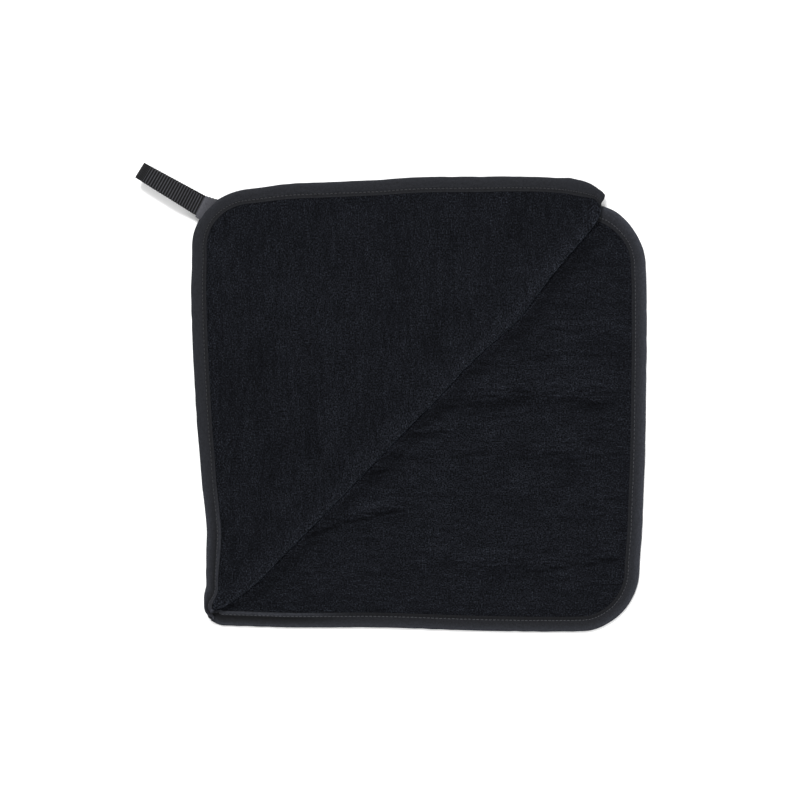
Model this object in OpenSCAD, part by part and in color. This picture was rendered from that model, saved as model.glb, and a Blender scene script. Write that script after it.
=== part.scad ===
// Terry hand towel with a bound edge, lying folded in half along its left side. One corner of the
// top leaf is folded back over the diagonal, and a hanging loop of ribbed webbing sits on that corner.
// Origin: middle of the lower leaf, on its underside. Z is up, everything is in millimetres.

/* [Cloth] */
// Width of each leaf, half the length of the open towel
leaf_w = 350; // [320:1:380]
// Height of each leaf, the width of the open towel
leaf_h = 344; // [330:1:350]
// Radius of the towel's own corners
corner_r = 46; // [36:1:60]
// Thickness of the terry, pile included
terry_t = 2.4; // [2.2:0.1:3]
// Space between two layers lying on each other
layer_gap = 0.3; // [0.3:0.05:0.5]

/* [Binding] */
// Width of the binding tape seen on each face
tape_w = 12; // [10.5:0.5:16]
// How far the tape's face sits below the pile
tape_drop = 0.25; // [0.2:0.05:0.35]
// Thickness of the cloth edge squeezed inside the tape
tongue_t = 1.0; // [0.6:0.1:1.2]
// Distance from the tape's outer fold to the cloth edge inside it
tongue_set = 1.0; // [0.5:0.1:2]
// Distance from the towel's outer edge to the row of stitches
stitch_inset = 9; // [6.5:0.5:9.5]
// Width of the row of stitches
stitch_w = 0.6; // [0.4:0.1:1]
// Width of the folded end where the tape's two ends meet
join_w = 1.6; // [1:0.1:3]
// Distance of that join above the lower end of the turned-back tape
join_along = 138; // [60:1:220]

/* [Corner fold] */
// Where the diagonal fold passes, left or right of the middle
fold_x = -6; // [-8:0.5:-4]
// Where the diagonal fold passes, above or below the middle
fold_y = 5; // [3:0.5:7]
// Slope of the diagonal fold in degrees
fold_angle = 46.1; // [45.6:0.1:46.4]

/* [Hanging loop] */
// Width of the webbing
loop_w = 15; // [12:0.5:16]
// Length of the loop from its root to its tip
loop_len = 55.6; // [46:0.2:70]
// Thickness of one ply of webbing
ply_t = 0.8; // [0.7:0.05:0.8]
// Clear height inside the loop's eye
eye_h = 4.8; // [4.4:0.1:5]
// Distance between two ribs of the webbing
rib_pitch = 2.27; // [2:0.01:2.8]
// Radius of one rib
rib_r = 0.4; // [0.3:0.05:0.4]
// Where the root sits round the turned-back corner, in degrees
root_bearing = 141.6; // [138:0.2:145]
// Distance from the binding's edge to the loop's root
root_out = 3.5; // [3:0.1:5]
// Direction the loop points in, in degrees
loop_angle = 148.4; // [144:0.2:152]
// Length of webbing caught inside the binding
root_len = 10.9; // [8:0.1:11]
// Length of the smooth patch over the root
patch_len = 5.4; // [4:0.1:6]

/* [Hidden] */
$fn = 96;
half_gap = layer_gap / 2;
leaf_step = terry_t + layer_gap;         // height from one layer to the next
left_x = -leaf_w / 2;                    // the fold between the two leaves
left_z = terry_t + half_gap;             // height of that fold's axis
fold_z = left_z + leaf_step;             // height of the diagonal fold's axis
roll_out = terry_t + half_gap;           // outer radius of a fold in the terry
roll_in = half_gap;                      // inner radius of a fold in the terry
tape_out = roll_out - tape_drop;         // outer radius of a fold in the tape
tape_in = roll_in + tape_drop;           // inner radius of a fold in the tape
reach = 600;                             // longer than anything in the towel

// centre of the towel's upper right corner
arc_x = leaf_w / 2 - corner_r;
arc_y = leaf_h / 2 - corner_r;
// the same centre seen along the diagonal fold and square to it
arc_along = (arc_x - fold_x) * cos(fold_angle) + (arc_y - fold_y) * sin(fold_angle);
arc_off = (arc_y - fold_y) * cos(fold_angle) - (arc_x - fold_x) * sin(fold_angle);
// stretches of the diagonal fold: tape, terry, tape
fold_start = (left_x + 2.6 - fold_x) / cos(fold_angle);
fold_terry_start = -(leaf_h / 2 - tape_w + fold_y) / sin(fold_angle);
fold_terry_end = arc_along + sqrt(pow(corner_r - tape_w, 2) - pow(arc_off, 2));
fold_end = arc_along + sqrt(pow(corner_r, 2) - pow(arc_off, 2));

// centre of the lower right corner once it is folded back over the diagonal
low_along = (arc_x - fold_x) * cos(fold_angle) + (-arc_y - fold_y) * sin(fold_angle);
low_off = (-arc_y - fold_y) * cos(fold_angle) - (arc_x - fold_x) * sin(fold_angle);
turned_x = fold_x + low_along * cos(fold_angle) + low_off * sin(fold_angle);
turned_y = fold_y + low_along * sin(fold_angle) - low_off * cos(fold_angle);
// axis the loop swings on
root_x = turned_x + (corner_r + root_out) * cos(root_bearing);
root_y = turned_y + (corner_r + root_out) * sin(root_bearing);
root_z = fold_z + roll_in + terry_t / 2;

tip_r = ply_t + eye_h / 2;               // outer radius of the loop's tip
tip_s = loop_len - tip_r - 0.3;          // where the tip's curve starts
rise_start = 4;                          // the plies part here
rise_end = 22;                           // and are fully apart here
swing_gap = 1.1;                         // root to axis, clears the loop's round end

terry_colour = [0.10, 0.105, 0.125];
tape_colour = [0.18, 0.18, 0.20];
thread_colour = [0.24, 0.24, 0.26];
webbing_colour = [0.22, 0.22, 0.23];
patch_colour = [0.30, 0.30, 0.31];

// one leaf's outline, drawn in from its three bound edges; the fourth is the left fold
module leaf_outline(inset, left) {
  x1 = leaf_w / 2 - inset;
  y1 = leaf_h / 2 - inset;
  r = corner_r - inset;
  translate([left, -y1]) square([x1 - r - left, 2 * y1]);
  translate([left, r - y1]) square([x1 - left, 2 * (y1 - r)]);
  for (side = [-1, 1]) translate([x1 - r, side * (y1 - r)]) circle(r);
}

module leaf_slab(inset, z0, z1, left = left_x + half_gap)
  translate([0, 0, z0]) linear_extrude(z1 - z0) leaf_outline(inset, left);

// the thinned edge of the cloth, held inside the tape
module tongue(floor_z, left = left_x + half_gap)
  leaf_slab(tongue_set, floor_z + (terry_t - tongue_t) / 2, floor_z + (terry_t + tongue_t) / 2, left);

module terry_layer(floor_z) {
  leaf_slab(tape_w, floor_z, floor_z + terry_t);
  tongue(floor_z);
}

module binding_layer(floor_z)
  difference() {
    leaf_slab(0, floor_z + tape_drop, floor_z + terry_t - tape_drop);
    leaf_slab(tape_w, floor_z - 1, floor_z + terry_t + 1, left_x - 1);
    tongue(floor_z, left_x - 1);
  }

// a row of stitches lying in the step between the tape and the pile
module thread_row(z0)
  difference() {
    leaf_slab(stitch_inset - stitch_w / 2, z0, z0 + tape_drop);
    leaf_slab(stitch_inset + stitch_w / 2, z0 - 1, z0 + tape_drop + 1, left_x - 1);
  }

module back_thread_row(floor_z) thread_row(floor_z);
module front_thread_row(floor_z) thread_row(floor_z + terry_t - tape_drop);

// along the diagonal fold: x follows the fold, y points to the upper left, z = 0 is its axis
module at_fold()
  translate([fold_x, fold_y, fold_z]) rotate([0, 0, fold_angle]) children();

module upper_left_of_fold()
  intersection() {
    children();
    at_fold() translate([-reach, half_gap, -20]) cube([2 * reach, reach, 40]);
  }

module lower_right_of_fold()
  intersection() {
    children();
    at_fold() translate([-reach, -half_gap - reach, -20]) cube([2 * reach, reach, 40]);
  }

// a half turn about the diagonal fold
module turned_back()
  at_fold() rotate([180, 0, 0]) rotate([0, 0, -fold_angle])
    translate([-fold_x, -fold_y, -fold_z]) lower_right_of_fold() children();

// half a ring and two short flats: a layer going round a fold, open towards +x
module roll_outline(r_in, r_out) {
  intersection() {
    difference() { circle(r_out); circle(r_in); }
    translate([-r_out - 1, -r_out - 1]) square([r_out + 1, 2 * r_out + 2]);
  }
  for (z = [r_in, -r_out]) translate([0, z]) square([half_gap, r_out - r_in]);
}

module left_roll(r_in, r_out, y0, y1)
  translate([left_x, y1, left_z]) rotate([90, 0, 0]) linear_extrude(y1 - y0) roll_outline(r_in, r_out);

module diagonal_roll(r_in, r_out, t0, t1)
  at_fold() translate([t0, 0, 0]) rotate([90, 0, 90]) linear_extrude(t1 - t0) roll_outline(r_in, r_out);

// at the loop's root: x points along the loop, y across it, z = 0 is the axis it swings on
module at_root() translate([root_x, root_y, root_z]) rotate([0, 0, loop_angle]) children();

module root_stub()
  at_root() translate([-swing_gap - root_len, -loop_w / 2, -ply_t]) cube([root_len, loop_w, 2 * ply_t]);

module root_patch()
  at_root() translate([-swing_gap - patch_len, -loop_w / 2, ply_t]) cube([patch_len, loop_w, 0.4]);

// on the turned-back lower edge: x runs up along it from the diagonal fold, -y points into the cloth
module at_turned_edge()
  at_fold() translate([-(leaf_h / 2 + fold_y) / sin(fold_angle), 0, 0]) rotate([0, 0, fold_angle])
    children();

// the tape's folded end, let into the tape's upper face
module tape_end()
  at_turned_edge() translate([join_along, -tape_w / 2, tape_out - 0.1]) rotate([0, 0, -32])
    cube([1.33 * tape_w, join_w, 0.2], center = true);

function ply_rise(s) =
  s <= rise_start ? 0 :
  s >= rise_end ? eye_h :
  let (k = (s - rise_start) / (rise_end - rise_start)) eye_h * k * k * (3 - 2 * k);

// the loop seen from its side: lower ply, upper ply, round root, round tip and the ribs
module loop_outline() {
  steps = [for (i = [0:18]) rise_start + i * (rise_end - rise_start) / 18];
  upper = concat([0], steps, [tip_s]);
  circle(ply_t);
  translate([0, -ply_t]) square([tip_s, ply_t]);
  polygon(concat(
    [for (s = upper) [s, ply_rise(s)]],
    [for (i = [len(upper) - 1:-1:0]) [upper[i], ply_rise(upper[i]) + ply_t]]));
  translate([tip_s, eye_h / 2]) {
    intersection() {
      difference() { circle(tip_r); circle(tip_r - ply_t); }
      translate([0, -tip_r - 1]) square([tip_r + 1, 2 * tip_r + 2]);
    }
    for (a = [-60, -20, 20, 60]) rotate(a) translate([tip_r - 0.1, 0]) circle(rib_r, $fn = 24);
  }
  for (s = [2.2:rib_pitch:tip_s]) {
    translate([s, ply_rise(s) + ply_t - 0.1]) circle(rib_r, $fn = 24);
    translate([s, 0.1 - ply_t]) circle(rib_r, $fn = 24);
  }
}

// ---- lower leaf ----
module base_terry() color(terry_colour) terry_layer(0);
module base_binding() color(tape_colour) binding_layer(0);
module base_front_thread() color(thread_colour) front_thread_row(0);
module base_back_thread() color(thread_colour) back_thread_row(0);

// ---- fold between the leaves ----
module left_fold_terry()
  color(terry_colour) left_roll(roll_in, roll_out, tape_w - leaf_h / 2, leaf_h / 2 - tape_w);
module left_fold_binding_upper()
  color(tape_colour) left_roll(tape_in, tape_out, leaf_h / 2 - tape_w, leaf_h / 2);
module left_fold_binding_lower()
  color(tape_colour) left_roll(tape_in, tape_out, -leaf_h / 2, tape_w - leaf_h / 2);

// ---- top leaf, up to the diagonal fold ----
module cover_terry() color(terry_colour) upper_left_of_fold() terry_layer(leaf_step);
module cover_binding() color(tape_colour) upper_left_of_fold() binding_layer(leaf_step);
module cover_front_thread() color(thread_colour) upper_left_of_fold() front_thread_row(leaf_step);
module cover_back_thread() color(thread_colour) upper_left_of_fold() back_thread_row(leaf_step);

// ---- diagonal fold ----
module diagonal_fold_terry()
  color(terry_colour) diagonal_roll(roll_in, roll_out, fold_terry_start, fold_terry_end);
module diagonal_fold_binding_right()
  color(tape_colour) diagonal_roll(tape_in, tape_out, fold_terry_end, fold_end);
module diagonal_fold_binding_left()
  color(tape_colour) diagonal_roll(tape_in, tape_out, fold_start, fold_terry_start);

// ---- corner folded back ----
module flap_terry()
  color(terry_colour) difference() {
    turned_back() terry_layer(leaf_step);
    root_stub();
  }
module flap_binding()
  color(tape_colour) difference() {
    turned_back() binding_layer(leaf_step);
    root_stub();
    root_patch();
    tape_end();
  }
module flap_front_thread() color(thread_colour) turned_back() front_thread_row(leaf_step);
module flap_back_thread() color(thread_colour) turned_back() back_thread_row(leaf_step);
module binding_join() color(tape_colour) tape_end();
module loop_root() color(webbing_colour) root_stub();
module loop_patch() color(patch_colour) root_patch();

// ---- hanging loop ----
module hanging_loop()
  color(webbing_colour) at_root() rotate([90, 0, 0])
    linear_extrude(loop_w, center = true) loop_outline();

base_terry();
base_binding();
base_front_thread();
base_back_thread();
left_fold_terry();
left_fold_binding_upper();
left_fold_binding_lower();
cover_terry();
cover_binding();
cover_front_thread();
cover_back_thread();
diagonal_fold_terry();
diagonal_fold_binding_right();
diagonal_fold_binding_left();
flap_terry();
flap_binding();
flap_front_thread();
flap_back_thread();
binding_join();
loop_root();
loop_patch();
hanging_loop();
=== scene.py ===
"""Black terry towel with a bound edge, folded in half, one corner turned back, with a webbing loop.

The towel is modelled flat, in the plane of one leaf, and then laid: each flat point (x, y) and its
height h over the middle of the cloth is placed on the lower leaf, the cover or the turned-back
corner. Terry, tape and stitches all go through the same placing, so they fit each other.
Lengths are in millimetres until a mesh is made.
"""
import math

import bpy
import bmesh
import numpy as np
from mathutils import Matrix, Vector
from mathutils.geometry import delaunay_2d_cdt


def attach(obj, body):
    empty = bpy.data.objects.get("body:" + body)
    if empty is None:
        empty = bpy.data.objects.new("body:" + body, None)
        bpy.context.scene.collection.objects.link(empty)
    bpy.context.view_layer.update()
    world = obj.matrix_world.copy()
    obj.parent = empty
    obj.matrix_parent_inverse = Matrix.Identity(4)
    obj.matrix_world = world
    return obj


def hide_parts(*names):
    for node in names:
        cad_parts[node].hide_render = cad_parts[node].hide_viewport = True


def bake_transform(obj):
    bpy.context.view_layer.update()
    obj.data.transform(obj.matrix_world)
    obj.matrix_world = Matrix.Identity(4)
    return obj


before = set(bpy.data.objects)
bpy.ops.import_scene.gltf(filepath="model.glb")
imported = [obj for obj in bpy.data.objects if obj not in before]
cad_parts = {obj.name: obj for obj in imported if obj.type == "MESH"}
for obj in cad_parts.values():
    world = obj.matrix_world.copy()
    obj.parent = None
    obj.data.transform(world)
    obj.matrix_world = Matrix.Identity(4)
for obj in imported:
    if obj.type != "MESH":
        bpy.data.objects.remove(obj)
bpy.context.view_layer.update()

# ---------------- sizes
LEAF_W, LEAF_H, CORNER_R = 350.0, 344.0, 46.0
LEFT = -LEAF_W / 2
TAPE_W = 12.0
MID = 1.2                     # half the space one layer takes
STEP = 2.7                    # from one layer to the next
GROUND = 0.28                 # from the middle of the cloth to the face of its ground weave
PILE = 1.08                   # and to the pile's tips
ROLL = 1.35                   # radius of a fold at the middle of the cloth
ROUND = 4.2                   # cloth that goes round a fold
TERRY_IN = 10.6               # the terry starts this far in, under the tape's inner edge
LEFT_Z = 2.55                 # axis of the fold between the leaves
FOLD_Z = 5.25                 # axis of the diagonal fold
FOLD_AT = np.array([-6.0, 5.0])
FOLD_ENDS = (-208.0, 197.0)   # past these places the diagonal fold strays from its straight line
FOLD_REACH = 110.0            # how far from it the bow of its line is felt
EDGE_REACH = 60.0             # how far in a stray edge of the turned-back corner is felt
FOLD_ANGLE = math.radians(46.1)
ALONG = np.array([math.cos(FOLD_ANGLE), math.sin(FOLD_ANGLE)])
ACROSS = np.array([math.sin(FOLD_ANGLE), -math.cos(FOLD_ANGLE)])    # towards the lower right
STITCH_PITCH, STITCH_LEN, STITCH_IN = 3.3, 2.5, 9.0
WRINKLE = 0.72                # size of the lower leaf's wrinkles against their table
# centres of the round corners on the left fold, and which side of the towel they are on
SOFT_CORNERS = ((-162.0, -153.5, -1), (-165.5, 154.5, 1))

# loop of webbing: where it is rooted, which way it points, its size
ROOT = np.array([-180.9, 165.6])
ROOT_Z = 6.6
LOOP_ANGLE = math.radians(148.4)
LOOP_LEN, PLY, RIB = 57.0, 0.8, 2.27

# how far the laid edges stray from straight: (place along the edge, distance)
BOW = [(-246, -14), (-232, -8.5), (-223, -4.2), (-216, -2.6), (-196, 0.4), (-160, 1.2), (-100, 2.0),
       (-40, 2.2), (20, 2.8), (60, 2.4), (84, 4.2), (100, 5.6), (112, 5.2), (125, 3.6), (140, 1.8),
       (165, -0.4), (185, -1.6), (195, -2.2), (207, -4.0), (212, -5.4), (217, -8.3), (220, -10.4),
       (224, -12.0), (228, -13.0)]
NIP = [(195, 0), (207, -1.0), (212, -2.9), (217, -2.7), (220, -1.1), (224, -0.6), (228, -0.8)]
LOW_EDGE = [(-176, 3.0), (-150, 2.4), (-120, 1.4), (-30, 1.0), (-10, 0.4), (30, -1.0), (70, -1.9),
            (115, -2.1), (175, -0.7)]
RIGHT_EDGE = [(-175, -5.5), (-133, -4.6), (-113, -3.6), (-93, -2.1), (-73, -1.3), (-32, 0.2), (7, 0.9),
              (87, 1.5), (105, 1.4), (135, 0.4), (175, 0)]
LEFT_EDGE = [(-175, 0), (-162, 0.2), (-150, 1.8), (-134, 1.8), (-93, 1.3), (-60, 0), (175, 0)]
FLAP_LEFT = [(-175, 0.0), (-158, 0.9), (-151, 2.6), (-146, 3.9), (-140, 4.5), (-134, 3.4), (-112, 2.4),
             (-93, 3.2), (-76, 2.5), (-52, 0.8), (-33, 0.2), (-12, -0.9), (20, -1.6), (60, -2.1),
             (104, -1.4), (128, 0.2), (155, 0.5)]
FLAP_TOP = [(-165, -1.5), (-137, 0), (-113, 2.3), (-77, 2.6), (-41, 2.8), (-5, 3.8), (37, 2.5),
            (65, 1.4), (79, 0.4), (91, -0.8), (103, -3.0), (112, -5.2), (120, -6.0), (128, -4.8),
            (134, -2.4), (140, 0.2), (148, 2.0)]
NARROW = (-0.4, -4.4)          # shift of the turned-back edge at the sharp corner: all of it, its inside
# soft upright folds in the turned-back corner: x, top, bottom, half width, tone and height; the tone is
# painted shade where negative and painted light where positive
BANDS = [(-135, 61, -13, 8, -0.24), (-93, 28, -36, 8, -0.20), (-126, -27, -66, 9, -0.20),
         (-133, -82, -117, 7, -0.16), (-20, 142, 102, 8, -0.16), (8, 84, 42, 8, -0.16),
         (73, 164, 141, 9, -0.16), (-43, 10, -18, 8, -0.12), (-156, 42, 10, 7, -0.16),
         (-77, 79, -36, 7, 0.14), (38, 125, 91, 10, 0.12), (-20, 42, 21, 9, 0.12), (-165, 135, 100, 8, 0.14),
         (-110, 110, 60, 10, 0.08)]
# steps in the lower leaf, where it drops towards the bottom: x from, x to, y from, y to, drop, how
# far the drop takes and how far the rise to it
STEPS = [(-114, -14, -101.0, -72.0, 2.1, 3.4, 12), (-96, -58, -103.0, -98.5, 0.8, 2.6, 5),
         (-66, -32, -51.0, -42.0, 1.7, 4.5, 7), (-40, 58, -34.0, -25.0, 0.8, 7.0, 10),
         (-28, 28, -14.5, -10.0, 0.9, 5.0, 8), (-8, 26, 9.8, 8.0, 1.3, 3.0, 9),
         (14, 150, 15.5, 16.5, 3.0, 14.0, 18), (80, 116, 95.0, 93.0, 1.1, 7.0, 7),
         (94, 150, 72.5, 71.5, 0.55, 2.6, 9), (60, 110, 52.0, 48.0, 0.6, 8.0, 12),
         (96, 140, 39.0, 37.0, 0.9, 14.0, 10), (58, 126, -26.0, -30.0, 1.7, 16.0, 16),
         (126, 164, -30.0, -30.5, 0.7, 2.6, 8), (60, 150, -62.0, -70.0, 0.5, 10.0, 14),
         (82, 162, -121.5, -115.0, 1.3, 3.0, 14), (0, 86, -112.0, -116.0, 1.6, 18.0, 12),
         (-50, -10, -96.0, -104.0, 0.8, 10.0, 10)]
# where the lower leaf hangs back from the diagonal fold and leaves a shaded hollow: place along the
# fold, how much
HOLLOW = [(-232, 0.5), (-190, 0.35), (-162, 0.6), (-145, 0.25), (-128, 0.9), (-112, 0.15), (-80, 0.15),
          (-62, 0.9), (-46, 0.1), (-28, 0.15), (-8, 0.9), (10, 0.4), (20, 0.1), (50, 0.45), (66, 0.25),
          (85, 0.1), (99, 0.15), (110, 0), (126, 0), (134, 0.7), (160, 1.0), (185, 0.9), (209, 0.7)]


def smooth(a, b, x):
    k = np.clip((x - a) / (b - a), 0, 1)
    return k * k * (3 - 2 * k)


def curve(x, table):
    """A smooth curve through a few (place, value) pairs, level at both ends."""
    px, py = (np.array(c, float) for c in zip(*table))
    m = np.gradient(py, px)
    m[0] = m[-1] = 0
    x = np.clip(x, px[0], px[-1])
    i = np.clip(np.searchsorted(px, x) - 1, 0, len(px) - 2)
    w = px[i + 1] - px[i]
    k = (x - px[i]) / w
    return ((2 * k**3 - 3 * k**2 + 1) * py[i] + (k**3 - 2 * k**2 + k) * w * m[i]
            + (3 * k**2 - 2 * k**3) * py[i + 1] + (k**3 - k**2) * w * m[i + 1])


# ---------------- random relief
class Relief:
    """Random heights over the flat towel, with waves of the given lengths along u and v (mm)."""

    CELL, U0, V0, NU, NV = 0.5, -380.0, -190.0, 1536, 768

    def __init__(self, seed, along_u, along_v):
        rng = np.random.default_rng(seed)
        f = np.fft.fft2(rng.normal(size=(self.NV, self.NU)))
        fu = np.fft.fftfreq(self.NU, self.CELL)[None, :] * along_u
        fv = np.fft.fftfreq(self.NV, self.CELL)[:, None] * along_v
        r2 = fu**2 + fv**2
        z = np.fft.ifft2(f * r2 * np.exp(-1.5 * r2)).real
        self.z = z / z.std()

    def __call__(self, u, v):
        a = np.clip((u - self.U0) / self.CELL, 0, self.NU - 1.001)
        b = np.clip((v - self.V0) / self.CELL, 0, self.NV - 1.001)
        i, j = a.astype(int), b.astype(int)
        a, b = a - i, b - j
        z = self.z
        return ((z[j, i] * (1 - a) + z[j, i + 1] * a) * (1 - b)
                + (z[j + 1, i] * (1 - a) + z[j + 1, i + 1] * a) * b)


tufts = {"A": Relief(11, 3.2, 2.8), "B": Relief(12, 3.2, 2.8)}
clumps = {"A": Relief(21, 16.0, 9.0), "B": Relief(22, 16.0, 9.0)}
streaks = {"A": Relief(31, 26.0, 3.4), "B": Relief(32, 26.0, 3.4)}
swell = Relief(41, 150.0, 45.0)


# ---------------- the flat towel
def split(x, y):
    """Place along the diagonal fold and distance from it, positive to the lower right."""
    dx, dy = x - FOLD_AT[0], y - FOLD_AT[1]
    return dx * ALONG[0] + dy * ALONG[1], dx * ACROSS[0] + dy * ACROSS[1]


def fold_place(t, d=0.0):
    """The point t along the diagonal fold and d past it: split() the other way round."""
    return FOLD_AT[0] + t * ALONG[0] + d * ACROSS[0], FOLD_AT[1] + t * ALONG[1] + d * ACROSS[1]


def edge_distance(x, y):
    """Distance in from the bound edge; the left side is the fold and has none."""
    qx, qy = x - (LEAF_W / 2 - CORNER_R), np.abs(y) - (LEAF_H / 2 - CORNER_R)
    outside = np.hypot(np.maximum(qx, 0), np.maximum(qy, 0))
    return CORNER_R - outside - np.minimum(np.maximum(qx, qy), 0)


STRAIGHT, ARC, SIDE = LEAF_W - CORNER_R, CORNER_R * math.pi / 2, LEAF_H - 2 * CORNER_R
EDGE = 2 * STRAIGHT + 2 * ARC + SIDE


def rail(s, e):
    """The flat point s along the bound edge from the lower left, and e in from it."""
    s, e = np.broadcast_arrays(np.asarray(s, float), np.asarray(e, float))
    cx, cy = LEAF_W / 2 - CORNER_R, LEAF_H / 2 - CORNER_R
    marks = np.cumsum([STRAIGHT, ARC, SIDE, ARC])
    a1 = -math.pi / 2 + (s - marks[0]) / CORNER_R
    a2 = (s - marks[2]) / CORNER_R
    r = CORNER_R - e
    x = np.select([s < marks[0], s < marks[1], s < marks[2], s < marks[3]],
                  [LEFT + s, cx + r * np.cos(a1), cx + r, cx + r * np.cos(a2)],
                  cx - (s - marks[3]))
    y = np.select([s < marks[0], s < marks[1], s < marks[2], s < marks[3]],
                  [-cy - r, -cy + r * np.sin(a1), -cy + s - marks[1], cy + r * np.sin(a2)], cy + r)
    return x, y


def crossing(e, lo, hi):
    """Where the line e in from the edge crosses the diagonal fold, between lo and hi along the edge."""
    lo, hi = np.full_like(e, lo), np.full_like(e, hi)
    sign = np.sign(split(*rail(lo, e))[1])
    for _ in range(50):
        mid = (lo + hi) / 2
        same = np.sign(split(*rail(mid, e))[1]) == sign
        lo, hi = np.where(same, mid, lo), np.where(same, hi, mid)
    return (lo + hi) / 2


def low_crossing(e):
    """The crossing at the sharp lower left corner."""
    return crossing(e, -4.0, 60.0)


def high_crossing(e):
    """The crossing at the upper right corner."""
    return crossing(e, STRAIGHT + ARC + SIDE * 0.6, EDGE - 100.0)


# ---------------- laying it
def soften(x, y, t, d):
    """Shift along the diagonal fold: its ends draw in to a round nose, where the terry crowds the tape."""
    e = edge_distance(x, y)
    crowd = (5.0 * smooth(188, 214, t) * np.exp(-(d / 16)**2)
             - 3.6 * smooth(-205, -230, t) * np.exp(-(d / 4)**2))
    nose = np.where(t > 0, 1.6, 3.0) * np.exp(-(d / 3.6)**2) * smooth(6, 0, e)
    return nose + crowd * np.clip(e / TAPE_W, 0, 1) * smooth(45, 12, e)


def bow(t, d=0.0):
    """How far the fold is laid off its straight line, fading with the distance from it."""
    shift = curve(t, BOW) * (1 - smooth(0, FOLD_REACH, np.abs(d))) + curve(t, NIP) * np.exp(-(d / 14)**2)
    return shift * smooth(LEFT, LEFT + 12, FOLD_AT[0] + t * ALONG[0])


def hollow(t):
    """Depth of the shaded hollow beside the diagonal fold, 0 to 1."""
    return np.maximum(curve(t, HOLLOW), 0)


def tuck(x, y, upper):
    """The corners on the left fold are soft and draw in to a round; the upper one is the two leaves' own."""
    for cx, cy, side in SOFT_CORNERS:
        if side > 0 and not upper:
            continue
        a, b = np.maximum(cx - x, 0), np.maximum((y - cy) * side, 0)
        k = np.where((a > 0) & (b > 0), np.maximum(a, b) / np.maximum(np.hypot(a, b), 1e-9), 1)
        x, y = np.where(a > 0, cx - a * k, x), np.where(b > 0, cy + side * b * k, y)
    return x, y


def drift(x, y):
    """How the laid leaves stray from their flat outline."""
    dx = curve(y, RIGHT_EDGE) * smooth(60, 160, x) + curve(y, LEFT_EDGE) * smooth(-100, LEFT, x)
    dy = (curve(x, LOW_EDGE) * smooth(-40, -150, y) - 5.5 * smooth(20, 150, y)
          + 2.2 * smooth(150, 168, y))
    return dx, dy


def wrinkle(x, y):
    """Height of the lower leaf's wrinkles."""
    z = np.zeros_like(x)
    for x0, x1, y0, y1, drop, fall, rise in STEPS:
        k = (x - x0) / (x1 - x0)
        south = (y0 + (y1 - y0) * k) - y + 1.4 * np.sin(x / 15 + y0) + 0.7 * np.sin(x / 6.1 + 2 * y1)
        ends = smooth(-0.08, 0.15, k) * smooth(1.08, 0.85, k) * (0.8 + 0.3 * np.sin(x / 11 + 3 * y0))
        crumple = 1 + (0.22 * streaks["B"](x - LEFT, y) + 0.10 * tufts["B"](x - LEFT, y)) * min(1, 5 / fall)
        z += WRINKLE * drop * ends * (smooth(-rise, 0, south) - smooth(0, fall, south)) * crumple
    return z


def from_left(x):
    """0 at the fold between the leaves, 1 further in."""
    return smooth(LEFT, LEFT + 40, x)


def past_fold(x, y):
    """Place along the laid diagonal fold and distance past it, for a point of the lower leaf."""
    dx, dy = drift(x, y)
    t, d = split(x + dx, y + dy)
    return t, d - bow(t) - (1 - from_left(x)) * (dx * ACROSS[0] + dy * ACROSS[1])


def slack(u, v):
    """How far a leaf stands off what it lies on, away from its folds."""
    return 0.28 + 0.15 * swell(u, v)


def base_lift(x, y):
    """How far the lower leaf stands off the table; it comes up to the diagonal fold lying on it."""
    t, past = past_fold(x, y)
    inside = smooth(10, 26, edge_distance(x, y))
    welt = (2.1 - 0.5 * hollow(t)) * smooth(0.3, 3.2, past) * smooth(17, 3.8, past) * inside
    free = inside * wrinkle(x, y) + smooth(0, 60, past) * slack(x - LEFT, y)
    return smooth(1.0, 5.5, past) * free + welt


def lay_base(x, y, h):
    """Lays a flat point of the lower leaf, h over the middle of its cloth."""
    dx, dy = drift(x, y)
    px, py = tuck(x + dx, y + dy, True)
    return px, py, np.maximum(MID + h + np.maximum(base_lift(x, y), 0), 0)


def fold_drift(t):
    """How far the diagonal fold moves with the leaves where it meets their left edge."""
    x, y = fold_place(t)
    dx, dy = drift(x, y)
    return (1 - from_left(x)) * dx, (1 - from_left(x)) * dy


def lay_cover(x, y, h):
    """The same for the cover, which lies face down."""
    t, d = split(x, y)
    dx, dy = drift(x, y)
    free = 1 - (1 - smooth(0, FOLD_REACH, -d)) * from_left(x)
    b, a = bow(t, d), soften(x, y, t, d)
    px, py = tuck(x + b * ACROSS[0] + a * ALONG[0] + dx * free,
                  y + b * ACROSS[1] + a * ALONG[1] + dy * free, True)
    return px, py, MID + STEP - h


def flap_relief(x, y):
    """Soft upright folds in the turned-back corner, seen where they lie; the same value gives their height
    and their painted shade and painted light.
    """
    z = np.zeros_like(x)
    for x0, y0, y1, wide, tone in BANDS:
        across = np.exp(-((x - x0 - 1.5 * np.sin(y / 19 + x0)) / wide)**2)
        z += tone * across * smooth(y1 - 9, y1 + 9, y) * smooth(y0 + 9, y0 - 9, y)
    return z


def flap_lift(x, y, px, py):
    """How far the turned-back corner stands off the cover."""
    d = split(x, y)[1]
    return smooth(2, 40, d) * np.maximum(slack(LEFT - x, y) + 1.3 * flap_relief(px, py), 0)


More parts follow.
